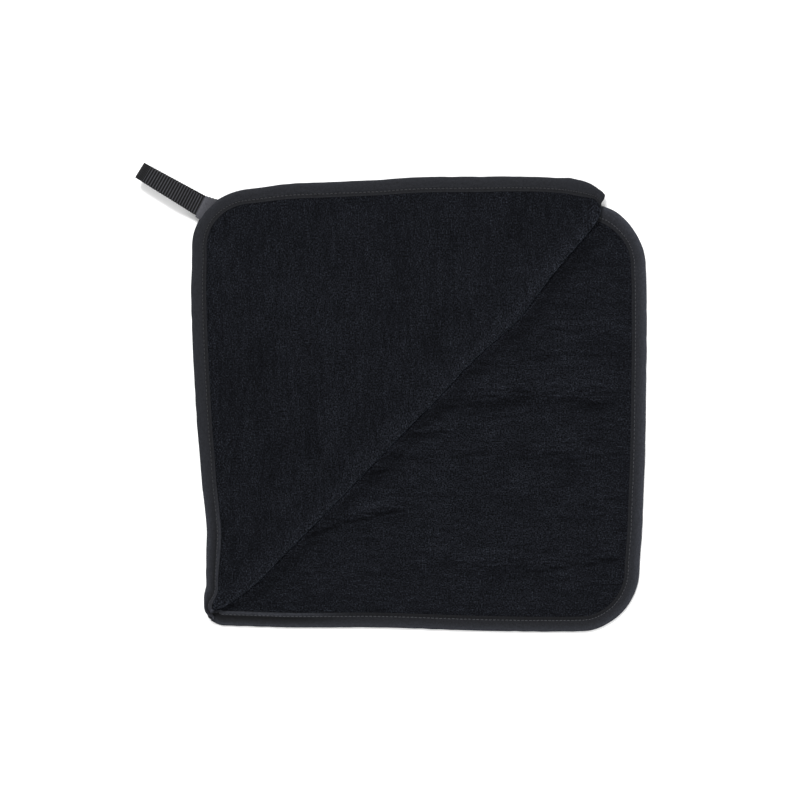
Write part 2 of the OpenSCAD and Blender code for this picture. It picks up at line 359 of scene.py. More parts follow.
def lay_flap(x, y, h):
    """The same for the turned-back corner, mirrored over the diagonal fold."""
    t, d = split(x, y)
    near = 1 - smooth(0, FOLD_REACH, d)
    (fx, fy), b, a = fold_drift(t), bow(t, d) - d, soften(x, y, t, d)
    px, py = fold_place(t + a, b)
    px, py = px + fx * near, py + fy * near
    left_e, top_e = np.maximum(y + LEAF_H / 2, 0), np.maximum(LEAF_W / 2 - x, 0)
    free = smooth(0, 12 - 7 * smooth(-200, -235, t), d)
    # by the sharp corner the bound edge is squeezed narrow
    squeeze = smooth(-100, -158, py) * (NARROW[0] + NARROW[1] * np.minimum(left_e / TAPE_W, 1)
                                        * smooth(60, 12, left_e))
    px, py = (px + (curve(py, FLAP_LEFT) * np.exp(-left_e / EDGE_REACH) + squeeze) * free,
              py + curve(px, FLAP_TOP) * np.exp(-top_e / EDGE_REACH) * free)
    lift = flap_lift(x, y, px, py)
    px, py = tuck(px, py, False)
    return px, py, MID + 2 * STEP + h + lift


def lay_left_roll(y, h, turn):
    """turn goes from -90 degrees at the lower leaf to 90 at the cover."""
    r = ROLL - h
    dx, dy = drift(np.full_like(y, LEFT), y)
    px, py = tuck(LEFT + dx - r * np.cos(turn), y + dy, True)
    return px, py, np.maximum(LEFT_Z + r * np.sin(turn), 0)


def lay_diagonal_roll(t, h, turn):
    """turn goes from -90 degrees at the cover to 90 at the turned-back corner."""
    r = ROLL + h
    fx, fy = fold_drift(t)
    pressed = 1 - 0.55 * smooth(-222, -238, t)          # flatter at the sharp corner
    x, y = fold_place(t + soften(*fold_place(t), t, 0.0), bow(t) + r * np.cos(turn) * pressed)
    px, py = tuck(x + fx, y + fy, False)
    return px, py, FOLD_Z + r * np.sin(turn)


def cloth_uv(x, y, leaf):
    """Place on the open towel, in mm: the same weave runs on over both folds."""
    if leaf == "base":
        return x - LEFT, y
    if leaf == "flap":
        x, y = x + ROUND * ACROSS[0], y + ROUND * ACROSS[1]
    return -ROUND - (x - LEFT), y


def pile_height(u, v, e, face):
    """From the middle of the cloth to the pile's surface; the tape presses it down."""
    press = smooth(10.4, 17.5, e)
    rough = 0.13 * tufts[face](u, v) + 0.08 * clumps[face](u, v) + 0.08 * streaks[face](u, v)
    loft = 0.55 * smooth(10.2, 12.4, e) + 0.45 * press
    return GROUND + (PILE - GROUND) * loft + rough * (0.35 + 0.65 * press)


# ---------------- meshes
def tone_and_painted_light(x, y, leaf):
    """Tone of the pile with painted light: on the turned-back corner a painted highlight along the diagonal
    fold and the upright folds' painted shade and light; on the lower leaf a painted highlight in the crevice
    by the fold, painted shade beside it and in its hollows, and painted shade on slopes that face away from
    the light.
    """
    t, d = split(x, y)
    if leaf == "flap":
        px, py, _ = lay_flap(x, y, np.zeros_like(x))
        # painted highlight along the diagonal fold, with the upright folds' painted shade and painted light
        rim = 0.32 + 0.25 * smooth(-140, 180, t)
        return 1 + rim * np.exp(-(np.maximum(d, 0) / 8)**1.5) + flap_relief(px, py)
    if leaf == "base":
        place, past = past_fold(x, y)
        gap = hollow(place)
        slope = (base_lift(x, y + 0.6) - base_lift(x, y - 0.6)) / 1.2 * smooth(3, 8, past)
        # painted highlight in the crevice beside the fold, less in its hollows; painted shade beside the
        # fold and deeper in the hollows; painted shade on slopes facing away from the light, painted light
        # on those facing it
        crevice_highlight = 1 + 1.5 * np.exp(-((past - 2.8) / 1.3)**2) * (1 - 0.35 * gap)
        shade = 1 - 0.10 * np.exp(-np.abs(d) / 16) - 0.28 * gap * np.exp(-np.maximum(past - 2, 0) / 7)
        return 1.08 * crevice_highlight * shade * np.clip(1 - 1.4 * slope, 0.45, 1.3)
    return np.ones_like(d)


# painted light on the tape: (distance in from the outer edge, factor), and the same by the sharp corner;
# painted highlights round the outside and on the inner edge, painted shade in the stitched groove, and by
# the corner painted shade outside the raised sewn line and painted light on its inner side
TAPE_PAINTED_LIGHT = {"flap": [(0, 1.55), (1.6, 1.28), (4, 1.1), (8.2, 0.95), (9.2, 0.62), (10.9, 0.58), (11.5, 0.95),
                      (12, 0.5)],
             "base": [(0, 2.6), (1.6, 2.0), (4, 1.32), (6.5, 0.93), (8.2, 0.86), (9.2, 0.62), (10.9, 0.52),
                      (11.5, 0.72), (12, 0.5)]}
CORNER_PAINTED_LIGHT = {"flap": [(0, 1.9), (2, 1.6), (3.5, 1.1), (6.5, 0.62), (8, 0.36), (9, 1.1), (11.4, 1.35),
                        (12, 0.6)],
               "base": [(0, 1.9), (1.8, 1.6), (3.2, 0.8), (5, 0.4), (8.0, 0.24), (8.8, 0.9), (9.6, 1.6),
                        (11.4, 1.6), (12, 0.6)]}


def tape_tone_and_light(s, e, leaf):
    """Tone of the tape from its outer edge in, with painted highlights and painted shade; by the sharp
    corner the sewn line stands up and gets its own painted light and shade. The lower leaf's tape is lighter
    along the right side.
    """
    leaf = leaf if leaf in TAPE_PAINTED_LIGHT else "flap"
    corner = smooth(150 if leaf == "flap" else 125, 60, s)
    plain, near = (np.interp(e, *zip(*table[leaf])) for table in (TAPE_PAINTED_LIGHT, CORNER_PAINTED_LIGHT))
    plain = plain * (0.81 if leaf == "flap" else 0.77 + 0.27 * smooth(280, 400, s))
    return plain * (1 - corner) + near * corner


def make(name, verts, faces, material, uv=None, sharp=None, shade=None):
    me = bpy.data.meshes.new(name)
    me.from_pydata((np.asarray(verts) * 0.001).tolist(), [], faces)
    me.update()
    bm = bmesh.new()
    bm.from_mesh(me)
    bmesh.ops.recalc_face_normals(bm, faces=bm.faces)
    bm.to_mesh(me)
    bm.free()
    me.polygons.foreach_set("use_smooth", np.ones(len(me.polygons), bool))
    if uv is not None:
        layer = me.uv_layers.new(name="towel")
        loops = np.empty(len(me.loops), np.int32)
        me.loops.foreach_get("vertex_index", loops)
        layer.data.foreach_set("uv", (np.asarray(uv)[loops] * 0.001).astype(np.float32).ravel())
    if sharp is not None:
        ends = np.empty(len(me.edges) * 2, np.int32)
        me.edges.foreach_get("vertices", ends)
        ends = ends.reshape(-1, 2)
        flag = np.asarray(sharp)
        mark = (flag[ends[:, 0]] > 0) & (flag[ends[:, 0]] == flag[ends[:, 1]])
        me.edges.foreach_set("use_edge_sharp", mark)
    if shade is not None:
        me.attributes.new("tone_and_painted_light", "FLOAT", "POINT").data.foreach_set("value", np.asarray(shade, np.float32))
    ob = bpy.data.objects.new(name, me)
    bpy.context.scene.collection.objects.link(ob)
    me.materials.append(material)
    return ob


def resample(points, step):
    """Even points along a closed outline that keep its sharp corners."""
    out = []
    n = len(points)
    for i in range(n):
        a, b = points[i], points[(i + 1) % n]
        parts = max(1, int(round(np.hypot(*(b - a)) / step)))
        out += [a + (b - a) * k / parts for k in range(parts)]
    return np.array(out)


def inside(points, ring):
    """Which points lie inside a closed outline."""
    x, y = points[:, 0], points[:, 1]
    hit = np.zeros(len(points), bool)
    for (x0, y0), (x1, y1) in zip(ring, np.roll(ring, -1, axis=0)):
        if y0 == y1:
            continue
        hit ^= ((y0 > y) != (y1 > y)) & (x < (x1 - x0) * (y - y0) / (y1 - y0) + x0)
    return hit


def clip_to_fold(ring, side):
    """The part of an outline on one side of the diagonal fold."""
    d = split(ring[:, 0], ring[:, 1])[1] * side
    out = []
    for i in range(len(ring)):
        j = (i + 1) % len(ring)
        if d[i] >= 0:
            out.append(ring[i])
        if (d[i] >= 0) != (d[j] >= 0):
            out.append(ring[i] + (ring[j] - ring[i]) * d[i] / (d[i] - d[j]))
    return np.array(out)


def terry_outline(e):
    """A leaf's outline e in from the edge, with more points round the corners."""
    s = np.arange(0, EDGE, 6.0)
    s = np.unique(np.concatenate([s, [EDGE], np.linspace(STRAIGHT, STRAIGHT + ARC, 40),
                                  np.linspace(EDGE - STRAIGHT - ARC, EDGE - STRAIGHT, 40)]))
    return np.column_stack(rail(s, e))


def triangulate(ring, step, seed):
    """Points, triangles and rim of a sheet filled with a jittered grid."""
    rng = np.random.default_rng(seed)
    lo, hi = ring.min(0), ring.max(0)
    xs, ys = np.arange(lo[0], hi[0], step), np.arange(lo[1], hi[1], step * 0.866)
    gx, gy = np.meshgrid(xs, ys)
    gx[1::2] += step / 2
    grid = np.column_stack([gx.ravel(), gy.ravel()]) + rng.uniform(-0.16, 0.16, (gx.size, 2)) * step
    grid = grid[inside(grid, ring)]
    # drop points that crowd the outline
    key = lambda p: set(map(tuple, np.round(p / (0.75 * step)).astype(int)))
    crowd = key(ring)
    cell = np.round(grid / (0.75 * step)).astype(int)
    grid = grid[[tuple(c) not in crowd for c in cell]]
    points = np.vstack([ring, grid])
    res = delaunay_2d_cdt([Vector(p) for p in points], [], [list(range(len(ring)))], 1, 1e-6)
    flat = np.array([tuple(v) for v in res[0]])
    order = {tuple(np.round(p, 4)): i for i, p in enumerate(flat)}
    rim = [order[tuple(np.round(np.float32(p).astype(float), 4))] for p in ring]
    return flat, [list(f) for f in res[2]], rim


def terry_sheet(name, ring, lay, leaf, steps, seed):
    """A closed sheet: a relief on each face and a wall round its rim."""
    ring = resample(ring, max(steps))
    verts, faces, uvs, flags, rims, shades = [], [], [], [], [], []
    base = 0
    for k, (face, sign, step) in enumerate((("B", 1, steps[0]), ("A", -1, steps[1]))):
        flat, tris, rim = triangulate(ring, step, seed)
        x, y = flat[:, 0], flat[:, 1]
        u, v = cloth_uv(x, y, leaf)
        h = sign * pile_height(u, v, edge_distance(x, y), face)
        verts.append(np.column_stack(lay(x, y, h)))
        uvs.append(np.column_stack([u, v]))
        shades.append(tone_and_painted_light(x, y, leaf) if sign > 0 else np.ones(len(x)))
        flag = np.zeros(len(flat), int)
        flag[rim] = k + 1
        flags.append(flag)
        faces += [[i + base for i in (f if sign > 0 else f[::-1])] for f in tris]
        rims.append([i + base for i in rim])
        base += len(flat)
    n = len(ring)
    for i in range(n):
        j = (i + 1) % n
        faces.append([rims[0][i], rims[1][i], rims[1][j], rims[0][j]])
    return make(name, np.vstack(verts), faces, MAT_TERRY, np.vstack(uvs), np.concatenate(flags),
                np.concatenate(shades))


def tube_faces(rows, cols, start=0):
    """Quads between rings of vertices, each ring closed."""
    out = []
    for i in range(rows - 1):
        for j in range(cols):
            a, b = i * cols + j, i * cols + (j + 1) % cols
            out.append([start + a, start + b, start + b + cols, start + a + cols])
    return out


def ring_cap(indices, verts, faces):
    """Closes a ring of vertices with a fan."""
    centre = len(verts)
    verts.append(np.mean([verts[i] for i in indices], axis=0))
    n = len(indices)
    faces += [[indices[i], indices[(i + 1) % n], centre] for i in range(n)]


def swept(name, sections, uv, material, shade=None):
    """A closed section carried along a path: sections is (steps, section points, 3)."""
    n, m = sections.shape[:2]
    verts = list(sections.reshape(-1, 3))
    uvs = list(uv.reshape(-1, 2))
    faces = tube_faces(n, m)
    flag = np.zeros(n * m, int)
    for k, row in enumerate((0, n - 1)):
        ring = [row * m + j for j in range(m)]
        flag[ring] = k + 1
        ring_cap(ring, verts, faces)
        uvs.append(uvs[ring[0]])
    flag = np.append(flag, [0, 0])
    if shade is not None:
        shade = np.append(shade.ravel(), [1, 1])
    return make(name, np.array(verts), faces, material, np.array(uvs), flag, shade)


# ---------------- binding tape
def corner_ridge(e, s):
    """By the sharp corner the stitched line stands up as a ridge with a hollow outside it."""
    return smooth(130, 60, s) * (0.65 * np.exp(-((e - 9.8) / 1.5)**2) - 0.60 * np.exp(-((e - 5.8) / 1.7)**2))


def tape_half(e, s, face):
    """Half thickness of the bound edge, e in from the outside."""
    nose = 1.14 * np.sqrt(np.clip(1 - np.clip(1 - e / 3.2, 0, 1)**2.4, 0, 1))
    body = nose - 0.16 * smooth(3.5, 8.6, e)
    stitch = 0.5 + 0.5 * np.cos(2 * np.pi * s / STITCH_PITCH)
    groove = -(0.22 + 0.22 * stitch) * np.exp(-((e - STITCH_IN - 0.15) / 0.62)**2)
    pucker = -0.06 * stitch * np.exp(-((e - 7.0) / 1.3)**2)
    band = -0.10 * np.exp(-((e - 10.5) / 0.7)**2) + 0.20 * np.exp(-((e - 11.55) / 0.33)**2)
    ridge = corner_ridge(e, s)
    wave = 0.04 * tufts[face](s * 0.35, e * 0.8) + 0.05 * clumps[face](s + Relief.U0, e * 2)
    return np.maximum(body + groove + pucker + band + ridge + wave * smooth(0, 2, e), 0.0)


def tape_section():
    """(e, face) round the tape: in along the top from its inner edge, round the outside and back."""
    top = np.concatenate([np.linspace(12.0, 10.6, 5), np.linspace(10.2, 7.6, 8), np.linspace(6.6, 1.8, 6),
                          [1.1, 0.6, 0.25, 0.06]])
    e = np.concatenate([[11.9], top, [-0.0], top[::-1], [11.9]])
    side = np.concatenate([[0.35], np.ones(len(top)), [0], -np.ones(len(top)), [-0.35]])
    return e, side


SECTION_E, SECTION_SIDE = tape_section()
SECTION_V = SECTION_E + 30 * (SECTION_SIDE < 0)     # the back's weave is taken from beside the front's
BACK = 900.0                                        # and its relief from further along


def tape_height(s):
    """Heights round the tape's section over the middle of the cloth."""
    e = np.broadcast_to(SECTION_E, s.shape)
    return np.where(SECTION_SIDE > 0, tape_half(e, s, "B"), tape_half(e, s + BACK, "A")) * SECTION_SIDE


def tape_in(s):
    """How far in the section lies: the outer edge sways a little along its length."""
    e = np.broadcast_to(SECTION_E, s.shape)
    return e + 0.07 * clumps["A"](s + Relief.U0, np.full_like(s, 40.0)) * (1 - smooth(0, 9, e))


def skewed(s0, s1, step=1.1, lean=24.0):
    """Steps along the edge that start and end on the slanting lines s0 and s1."""
    count = max(3, int((s1[-1] - s0[-1]) / step))
    k = np.linspace(0, 1, count)[:, None]
    first, last = s0.max(), s1.min()
    if last - first < 2.5 * lean:
        return s0[None, :] + (s1 - s0)[None, :] * k
    s = first + (last - first) * k
    return s + (s0 - first)[None, :] * (1 - smooth(first, first + lean, s)) \
             + (s1 - last)[None, :] * smooth(last - lean, last, s)


ZERO, FULL = np.zeros_like(SECTION_E), np.full_like(SECTION_E, EDGE)
LOW_CROSS, HIGH_CROSS = low_crossing(SECTION_E), high_crossing(SECTION_E)


def tape_piece(name, s, lay, leaf):
    """Tape along one leaf's edge; s is (steps, section points) along the edge."""
    points = np.stack(lay(*rail(s, tape_in(s)), tape_height(s)), axis=-1)
    uv = np.stack([s, np.broadcast_to(SECTION_V, s.shape)], axis=-1)
    return swept(name, points, uv, MAT_TAPE, tape_tone_and_light(s, np.broadcast_to(SECTION_E, s.shape), leaf))


def turns(n):
    """Angles of n steps round a fold."""
    return np.linspace(-math.pi / 2, math.pi / 2, n)


def tape_over_fold(name, s, places, lay, shade):
    """Tape going round a fold; places says where along the fold each point of its section lies."""
    steps = 15
    points = np.stack([np.stack(lay(places, tape_height(s), np.full_like(s, a)), -1) for a in turns(steps)])
    uv = np.stack([np.stack([s - 2 + 4 * k / (steps - 1), SECTION_V], -1) for k in range(steps)])
    return swept(name, points, uv, MAT_TAPE, np.tile(shade, (steps, 1)))


def tape_over_left(name, s, y_side):
    places = y_side * (LEAF_H / 2 - tape_in(s))
    return tape_over_fold(name, s, places, lay_left_roll, tape_tone_and_light(s, SECTION_E, "base"))


def tape_over_diagonal(name, s, painted_brightening=1.0):
    places = split(*rail(s, tape_in(s)))[0]
    return tape_over_fold(name, s, places, lay_diagonal_roll, painted_brightening * tape_tone_and_light(s, SECTION_E, "flap"))


# ---------------- stitches
def stitches(name, s_from, s_to, face, lay, seed, tone):
    """One row of separate stitches; each dips into the tape at both ends."""
    rng = np.random.default_rng(seed)
    sign = 1 if face == "B" else -1
    first, last = math.ceil(s_from / STITCH_PITCH), math.floor(s_to / STITCH_PITCH)
    verts, faces, uvs = [], [], []
    rings, sides = 7, 8
    k = np.linspace(-1, 1, rings)[:, None]
    a = np.linspace(0, 2 * math.pi, sides, endpoint=False)[None, :]
    for i in range(first, last + 1):
        s0 = (i + 0.5) * STITCH_PITCH + rng.uniform(-0.12, 0.12)
        if s0 - 1.3 < s_from or s0 + 1.3 > s_to:
            continue
        e0 = STITCH_IN + rng.uniform(-0.10, 0.10)
        thick = 0.28 * np.sqrt(np.maximum(1 - (0.94 * k)**2, 0.02)) * rng.uniform(0.9, 1.1)
        slant = rng.uniform(-0.08, 0.14)
        s = s0 + k * STITCH_LEN / 2 + 0 * a
        e = e0 + slant * k + thick * 1.05 * np.cos(a)
        top = tape_half(np.full_like(s, 8.3), np.full_like(s, i * STITCH_PITCH), face) - 0.04
        top = top + corner_ridge(9.0, s) - corner_ridge(8.3, s)
        h = sign * (top - 0.30 * k**2 + thick * 0.8 * np.sin(a))
        x, y = rail(s, e)
        p = np.stack(lay(x, y, h), -1).reshape(-1, 3)
        start = len(verts)
        verts += list(p)
        uvs += list(np.stack([s + 0 * e, e], -1).reshape(-1, 2))
        faces += tube_faces(rings, sides, start)
        for row in (0, rings - 1):
            ring_cap([start + row * sides + j for j in range(sides)], verts, faces)
            uvs.append(uvs[start])
    # tone: painted light, the same along the whole row
    return make(name, np.array(verts), faces, MAT_THREAD, np.array(uvs), shade=np.full(len(verts), tone))


# ---------------- materials
def node(tree, kind, **values):
    n = tree.nodes.new(kind)
    for key, value in values.items():
        if key in n.inputs:
            n.inputs[key].default_value = value
        else:
            setattr(n, key, value)
    return n


class Cloth:
    """A node material with short helpers for its noise, ramps and bumps."""

    def __init__(self, name, rough, sheen=0.0, sheen_tint=(0.5, 0.5, 0.55, 1), level=0.3):
        self.mat = bpy.data.materials.new(name)
        self.mat.use_nodes = True
        self.t = self.mat.node_tree
        self.bsdf = self.t.nodes["Principled BSDF"]
        self.bsdf.inputs["Roughness"].default_value = rough
        self.bsdf.inputs["Sheen Weight"].default_value = sheen
        self.bsdf.inputs["Sheen Roughness"].default_value = 0.45
        self.bsdf.inputs["Sheen Tint"].default_value = sheen_tint
        self.bsdf.inputs["Specular IOR Level"].default_value = level
        self.uv = node(self.t, "ShaderNodeUVMap", uv_map="towel").outputs["UV"]

    def link(self, a, b):
        self.t.links.new(a, b)

    def noise(self, per_mm_u, per_mm_v, detail=2.0, rough=0.5):
        """Noise with so many cells to the millimetre along the cloth and across it."""
        m = node(self.t, "ShaderNodeMapping")
        m.inputs["Scale"].default_value = (1000 * per_mm_u, 1000 * per_mm_v, 1)
        self.link(self.uv, m.inputs["Vector"])
        n = node(self.t, "ShaderNodeTexNoise", Scale=1.0, Detail=detail, Roughness=rough)
        self.link(m.outputs["Vector"], n.inputs["Vector"])
        return n.outputs["Fac"]

    def attribute(self, name):
        return node(self.t, "ShaderNodeAttribute", attribute_name=name).outputs["Fac"]

    def scaled_grey(self, value):
        """A number as a grey colour, kept as it is above 1."""
        n = node(self.t, "ShaderNodeCombineColor")
        for socket in n.inputs:
            self.link(value, socket)
        return n.outputs["Color"]

    def axis(self, i):
        """One coordinate of the piece's own layout: 0 along, 1 across, in metres."""
        n = node(self.t, "ShaderNodeSeparateXYZ")
        self.link(self.uv, n.inputs[0])
        return n.outputs[i]

    def ramp(self, fac, stops):
        r = node(self.t, "ShaderNodeValToRGB")
        while len(r.color_ramp.elements) < len(stops):
            r.color_ramp.elements.new(0.5)
        for el, (pos, col) in zip(r.color_ramp.elements, stops):
            el.position = pos
            el.color = (*col, 1) if len(col) == 3 else col
        self.link(fac, r.inputs["Fac"])
        return r.outputs["Color"]

    def math(self, op, a, b):
        m = node(self.t, "ShaderNodeMath", operation=op)
        for value, socket in zip((a, b), m.inputs):
            if isinstance(value, (int, float)):
                socket.default_value = value
            else:
                self.link(value, socket)
        return m.outputs["Value"]

    def blend(self, kind, a, b, fac=1.0):
        m = node(self.t, "ShaderNodeMix", data_type="RGBA", blend_type=kind)
        m.inputs["Factor"].default_value = fac
        self.link(a, m.inputs[6])
        self.link(b, m.inputs[7])
        return m.outputs[2]

    def bump(self, height, mm, strength=1.0, normal=None):
        b = node(self.t, "ShaderNodeBump")
        b.inputs["Strength"].default_value = strength
        b.inputs["Distance"].default_value = mm * 0.001
        self.link(height, b.inputs["Height"])
        if normal:
            self.link(normal, b.inputs["Normal"])
        return b.outputs["Normal"]

    def finish(self, colour, normal):
        self.link(colour, self.bsdf.inputs["Base Color"])
        self.link(normal, self.bsdf.inputs["Normal"])
        return self.mat


def grey(v, tint=(1, 1, 1)):
    return tuple(v * c for c in tint)


BLUE = (0.87, 0.98, 1.28)


def terry_material():
    c = Cloth("terry_pile", 0.95, sheen=0.05, sheen_tint=(0.42, 0.47, 0.60, 1), level=0.03)
    loops = c.noise(0.80, 0.95, 3.0, 0.72)
    rows = c.noise(0.05, 0.30, 2.0, 0.5)
    mottle = c.noise(0.16, 0.22, 2.0, 0.5)
    patches = c.noise(0.03, 0.05, 2.0, 0.5)
    colour = c.ramp(loops, [(0.38, grey(0.0002, BLUE)), (0.46, grey(0.0044, BLUE)),
                            (0.54, grey(0.0115, BLUE)), (0.64, grey(0.030, BLUE))])
    # painted light and shade carried by the pile's attribute
    colour = c.blend("MULTIPLY", colour, c.scaled_grey(c.attribute("tone_and_painted_light")))
    for noise, low in ((rows, 0.62), (mottle, 0.66), (patches, 0.78)):
        colour = c.blend("MULTIPLY", colour, c.ramp(noise, [(0.3, grey(low)), (0.7, grey(1.0))]))
    normal = c.bump(mottle, 0.8, 0.5)
    normal = c.bump(loops, 1.3, 0.9, normal)
    return c.finish(colour, normal)


def tape_material(name, tone):
    """Plain weave, with a painted highlight round the outside and painted shade in the pressed groove inside
    the stitches.
    """
    c = Cloth(name, 0.75, sheen=0.05, level=0.10)
    weave = c.math("ADD", c.noise(2.2, 0.5, 1.0, 0.5), c.noise(0.4, 2.4, 1.0, 0.5))
    fuzz = c.noise(0.35, 0.45, 3.0, 0.6)
    cool = (0.93, 1.0, 1.25)
    grain = c.noise(0.75, 0.85, 2.0, 0.6)
    colour = c.ramp(fuzz, [(0.25, grey(tone * 0.75, cool)), (0.5, grey(tone, cool)),
                           (0.75, grey(tone * 1.3, cool))])
    # painted highlight and shade carried by the tape's attribute
    colour = c.blend("MULTIPLY", colour, c.scaled_grey(c.attribute("tone_and_painted_light")))
    colour = c.blend("MULTIPLY", colour, c.scaled_grey(c.math("ADD", c.math("MULTIPLY", grain, 1.7), 0.15)))
    normal = c.bump(weave, 0.10, 0.6)
    normal = c.bump(fuzz, 0.25, 0.4, normal)
    return c.finish(colour, normal)


def thread_material():
    c = Cloth("sewing_thread", 0.55, sheen=0.03, level=0.3)
    twist = c.noise(3.5, 3.0, 1.0)
    cool = (0.92, 0.98, 1.14)
    colour = c.ramp(twist, [(0.3, grey(0.010, cool)), (0.7, grey(0.028, cool))])
    # each row's painted light
    colour = c.blend("MULTIPLY", colour, c.scaled_grey(c.attribute("tone_and_painted_light")))
    return c.finish(colour, c.bump(twist, 0.12, 0.6))


def webbing_material(name, tone, rough=0.6, ribbed=True):
    c = Cloth(name, rough, sheen=0.03, level=0.12)
    strands = c.noise(0.6, 4.5, 1.0)
    fuzz = c.noise(0.5, 0.7, 3.0)
    cool = (0.97, 0.985, 1.14)
    colour = c.ramp(fuzz, [(0.3, grey(tone * 0.8, cool)), (0.7, grey(tone * 1.25, cool))])
    if ribbed:
        # the webbing's own layer counts ribs along u: painted shade between them
        wave = c.math("SINE", c.math("MULTIPLY", c.axis(0), 2000 * math.pi), 0.0)
        wave = c.math("ADD", c.math("MULTIPLY", wave, 0.5), 0.5)
        colour = c.blend("MULTIPLY", colour, c.ramp(wave, [(0.34, grey(0.01)), (0.62, grey(0.14)),
                                                           (0.87, grey(1.0))]))
        # painted shade on the peeping ply, and darker round the tip
        colour = c.blend("MULTIPLY", colour, c.scaled_grey(c.attribute("tone_and_painted_light")))
    else:
        # plain end: duller towards the binding
        out = c.math("MULTIPLY", c.axis(0), 5.0)
        colour = c.blend("MULTIPLY", colour, c.ramp(out, [(0.950, grey(0.5)), (0.985, grey(0.8)),
                                                          (0.9985, grey(1.0))]))
    normal = c.bump(strands, 0.12, 0.7)
    return c.finish(colour, normal)


MAT_TERRY = terry_material()
MAT_TAPE = tape_material("binding_tape", 0.0108)
MAT_THREAD = thread_material()
MAT_WEB = webbing_material("ribbed_webbing", 0.030)
MAT_PATCH = webbing_material("root_patch", 0.045, 0.5, ribbed=False)

# ---------------- the cloth
FINE = 1.25
PLAIN = FINE * 1.5
outline = terry_outline(TERRY_IN)
terry_base = terry_sheet("terry_lower_leaf", outline, lay_base, "base", (FINE, PLAIN), 1)
terry_cover = terry_sheet("terry_cover", clip_to_fold(outline, -1), lay_cover, "cover", (PLAIN, PLAIN), 2)
terry_flap = terry_sheet("terry_corner", clip_to_fold(outline, 1), lay_flap, "flap", (FINE, PLAIN), 3)


def roll_of_terry(name, places, lay, at, outer, inner):
    """The terry going round a fold, closed inside and at both ends; outer and inner name its faces."""
    angle = turns(17)
    go = np.linspace(0, 1, len(angle))
    sign = 1 if outer == "B" else -1
    # painted highlight on the outer face of the diagonal fold, strongest on its side that turns away from
    # the light
    painted_highlight = 1 + (0.42 + 1.3 * np.cos(angle)**2) * smooth(-0.6, 0.2, angle) * (outer == "B")
    shade = np.append(painted_highlight, np.ones(len(angle)))
    sections, uvs = [], []
    for p in places:
        x, y = at(p)
        e = np.full(len(angle), edge_distance(x, y))
        u, v = cloth_uv(x, y, "cover")
        if outer == "B":
            u, v = u - ROUND * go * ACROSS[0], v + ROUND * go * ACROSS[1]
        else:
            u, v = 0 - ROUND * go, v + 0 * go
        big, small = pile_height(u, v, e, outer), pile_height(u, v, e, inner)
        spot = np.full(len(angle), float(p))
        out_side = np.stack(lay(spot, sign * big, angle), -1)
        in_side = np.stack(lay(spot, -sign * np.minimum(small, ROLL - 0.06), angle), -1)
        sections.append(np.vstack([out_side, in_side[::-1]]))
        uvs.append(np.column_stack([np.append(u, u[::-1]), np.append(v, v[::-1])]))
    return swept(name, np.stack(sections), np.stack(uvs), MAT_TERRY, np.tile(shade, (len(places), 1)))


half_y = LEAF_H / 2 - TERRY_IN
left_places = np.linspace(-half_y, half_y, int(2 * half_y / FINE) + 1)
terry_left = roll_of_terry("terry_left_fold", left_places, lay_left_roll, lambda p: (LEFT, p), "A", "B")


def diagonal_terry(name, t_from, t_to):
    places = np.linspace(t_from, t_to, int((t_to - t_from) / FINE) + 2)
    return roll_of_terry(name, places, lay_diagonal_roll, fold_place, "B", "A")


terry_rim = np.array([TERRY_IN])
fold_low, fold_high = (float(split(*rail(cross(terry_rim), terry_rim))[0][0])
                       for cross in (low_crossing, high_crossing))
terry_diag = diagonal_terry("terry_diagonal_fold", *FOLD_ENDS)
terry_diag_left = diagonal_terry("terry_diagonal_fold_left", fold_low, FOLD_ENDS[0])
terry_diag_right = diagonal_terry("terry_diagonal_fold_right", FOLD_ENDS[1], fold_high)

# ---------------- the tape
tape_base = tape_piece("tape_lower_leaf", skewed(ZERO, FULL), lay_base, "base")
tape_flap = tape_piece("tape_corner", skewed(LOW_CROSS, HIGH_CROSS), lay_flap, "flap")
tape_cover = tape_piece("tape_cover", skewed(HIGH_CROSS, FULL), lay_cover, "cover")
tape_nook = tape_piece("tape_cover_nook", skewed(ZERO, np.maximum(LOW_CROSS, 0.3)), lay_cover, "cover")
tape_left_up = tape_over_left("tape_left_fold_upper", FULL, 1)
tape_left_low = tape_over_left("tape_left_fold_lower", ZERO, -1)
tape_diag_right = tape_over_diagonal("tape_diagonal_fold_right", HIGH_CROSS)
# the left end of the fold's tape faces away from the light: painted light doubles its brightness
tape_diag_left = tape_over_diagonal("tape_diagonal_fold_left", LOW_CROSS, painted_brightening=2.0)

# ---------------- the stitches
low_s = float(low_crossing(np.array([STITCH_IN]))[0])
high_s = float(high_crossing(np.array([STITCH_IN]))[0])
rows = {}
for face, seed in (("B", 50), ("A", 60)):
    tag = "front" if face == "B" else "back"
    # the lower leaf's row is painted lighter and the other rows darker: lit and shaded copies of one thread
    rows["base", tag] = stitches(f"stitches_lower_leaf_{tag}", 0, EDGE, face, lay_base, seed, 1.4)
    rows["flap", tag] = stitches(f"stitches_corner_{tag}", low_s, high_s, face, lay_flap, seed + 1, 0.75)
    rows["cover", tag] = stitches(f"stitches_cover_{tag}", high_s, EDGE, face, lay_cover, seed + 2, 0.75)


